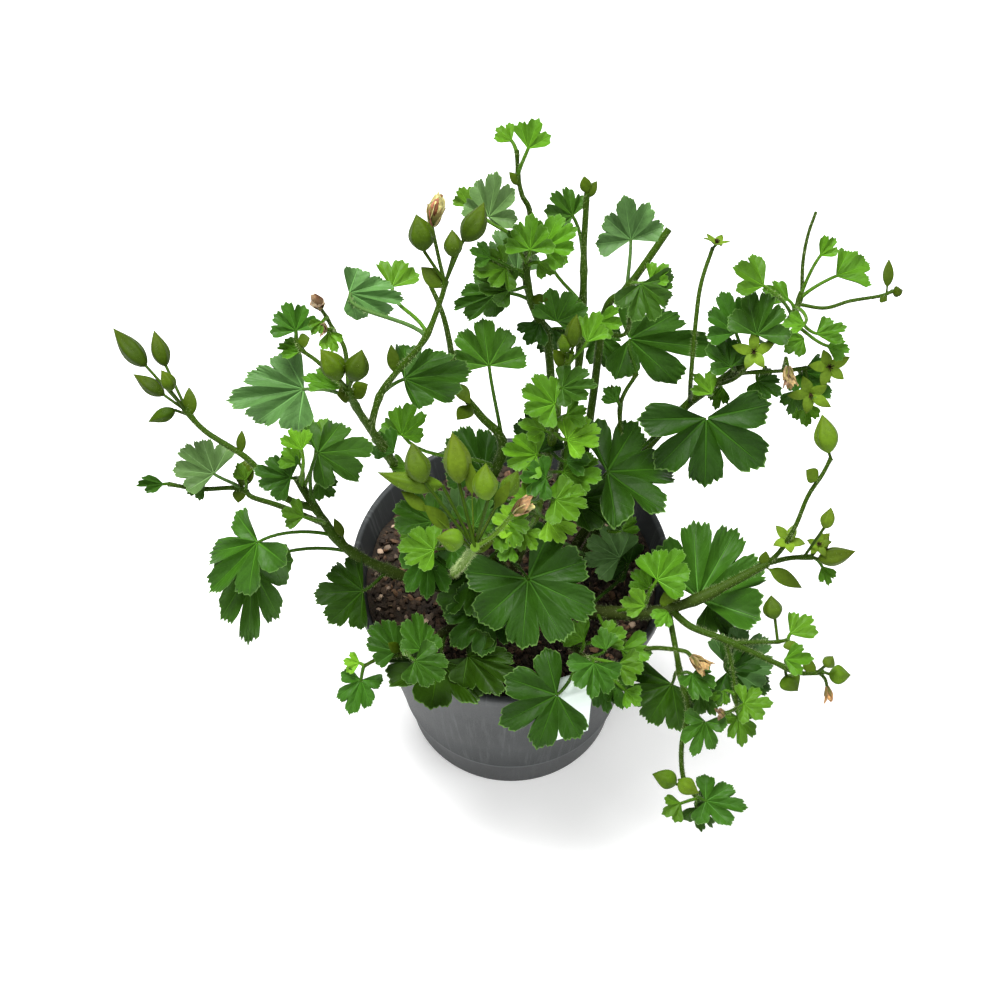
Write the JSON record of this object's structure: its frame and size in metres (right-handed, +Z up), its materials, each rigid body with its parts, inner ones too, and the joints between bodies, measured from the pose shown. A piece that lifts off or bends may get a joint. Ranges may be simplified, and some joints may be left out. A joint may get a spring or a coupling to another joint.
{
  "type": "potted angel pelargonium",
  "caption": "Small bushy angel pelargonium with lobed leaves, buds and dried blooms, standing in peat in a plain round nursery pot with a blank label over the rim.",
  "frame": {"origin": "centre of the pot's underside", "axes": "+Z up out of the pot's mouth; -Y towards the pot's front, the side with the label; +X to the right seen from the front"},
  "size_m": [0.2717, 0.1554, 0.2669],
  "materials": {
    "pot_plastic": "satin",
    "peat": "matte",
    "label_plastic": "satin",
    "foliage": "matte",
    "faded_petal": "matte",
    "dried_petal": "matte"
  },
  "bodies": {
    "root": {"pot": "pot_plastic", "soil": "peat", "label": "label_plastic", "left_shoot": "foliage", "upper_left_shoot": "foliage", "back_left_shoot": "foliage", "top_shoot": "foliage", "back_shoot": "foliage", "back_right_shoot": "foliage", "right_top_shoot": "foliage", "right_shoot": "foliage", "right_low_shoot": "foliage", "front_shoot": "foliage", "front_right_shoot": "foliage", "front_left_shoot": "foliage", "centre_shoot": "foliage", "near_shoot": "foliage", "faded_bud": "faded_petal", "dried_bloom_left_high": "dried_petal", "dried_bloom_left_low": "dried_petal", "dried_bloom_right": "dried_petal", "dried_bloom_front": "dried_petal", "dried_bloom_trail": "dried_petal", "dried_petal_right": "dried_petal", "dried_bloom_near": "dried_petal"}
  },
  "joints": []
}
